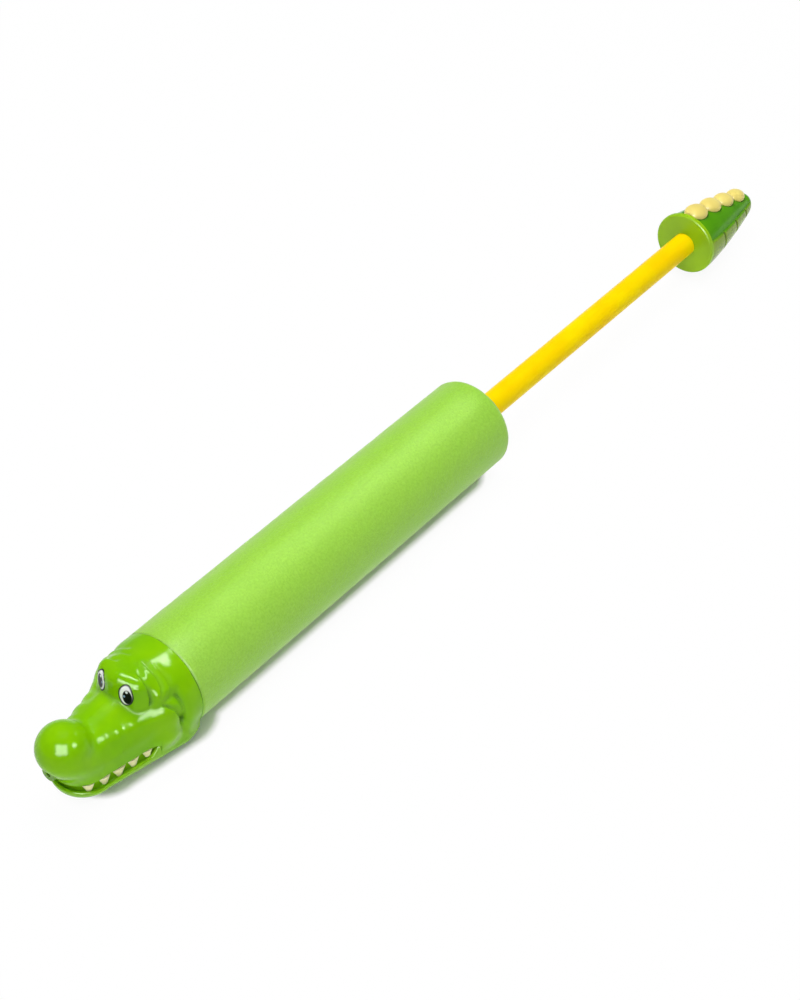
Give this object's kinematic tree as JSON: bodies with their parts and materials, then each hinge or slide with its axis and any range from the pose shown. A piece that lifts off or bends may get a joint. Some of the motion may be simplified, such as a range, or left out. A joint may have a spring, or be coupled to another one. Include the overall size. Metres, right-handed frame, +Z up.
{
  "type": "water squirter",
  "caption": "Plunger water squirter: a foam-covered barrel with a crocodile-head nozzle, a sliding rod and a tail-shaped handle.",
  "frame": {"origin": "middle of the drawn-out length, at the resting flat", "axes": "+X along the barrel towards the snout, +Y to the crocodile's left, +Z up"},
  "size_m": [0.6406, 0.055, 0.0566],
  "materials": {
    "head_green": "glossy moulded",
    "tail_green": "glossy moulded",
    "tail_disc_green": "satin moulded",
    "cream": "satin moulded",
    "eye_print": "printed",
    "nozzle_plastic": "moulded",
    "foam_green": "closed-cell foam",
    "rod_yellow": "extruded, satin",
    "barrel_plastic": "extruded",
    "inner_plastic": "moulded",
    "seal_rubber": "moulded",
    "screw_steel": "zinc plated"
  },
  "bodies": {
    "barrel": {"head_shell": "head_green", "lower_jaw": "head_green", "tooth_strip": "cream", "left_eye": "eye_print", "right_eye": "eye_print", "nozzle_plug": "inner_plastic", "plug_seal": "seal_rubber", "nozzle_tip": "nozzle_plastic", "barrel_tube": "barrel_plastic", "foam_sleeve": "foam_green", "rear_cap": "inner_plastic", "rod_bush": "inner_plastic", "stop_washer": "seal_rubber"},
    "piston": {"piston_core": "inner_plastic", "piston_seals": "seal_rubber"},
    "plunger": {"plunger_rod": "rod_yellow", "rod_front_plug": "inner_plastic", "piston_screw": "screw_steel", "rod_rear_plug": "inner_plastic", "tail_screw": "screw_steel", "tail_end_cap": "tail_disc_green", "tail_shell": "tail_green", "back_scutes": "cream"}
  },
  "joints": [
    {"name": "plunger_slide", "type": "slide", "parent": "barrel", "child": "piston", "axis": [1, 0, 0], "range_m": [0, 0.222]},
    {"name": "rod_spin", "type": "hinge", "parent": "piston", "child": "plunger", "pos_m": [0.00749, 0, 0.027], "axis": [1, 0, 0], "continuous": true}
  ]
}
